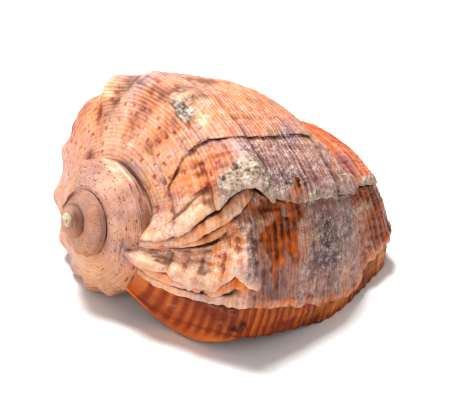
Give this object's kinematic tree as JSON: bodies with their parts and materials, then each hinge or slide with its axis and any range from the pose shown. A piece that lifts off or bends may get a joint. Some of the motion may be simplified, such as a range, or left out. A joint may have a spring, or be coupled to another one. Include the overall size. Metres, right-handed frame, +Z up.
{
  "type": "rapa whelk shell",
  "caption": "Large knobbed spiral sea shell lying on its aperture, with a low spire, stepped growth ledges, a wide oval aperture and a short siphonal canal.",
  "frame": {"origin": "bottom centre of the bounding box, on the surface the shell rests on", "axes": "+Z up, apex towards -X, siphonal end towards +X, outer lip towards -Y, aperture facing down"},
  "size_m": [0.1122, 0.0882, 0.0672],
  "materials": {
    "shell_wall": "weathered calcium carbonate shell, matt and chalky outside with orange and purple-brown bands, glossy orange inside the aperture"
  },
  "bodies": {
    "root": {"shell": "shell_wall"}
  },
  "joints": []
}
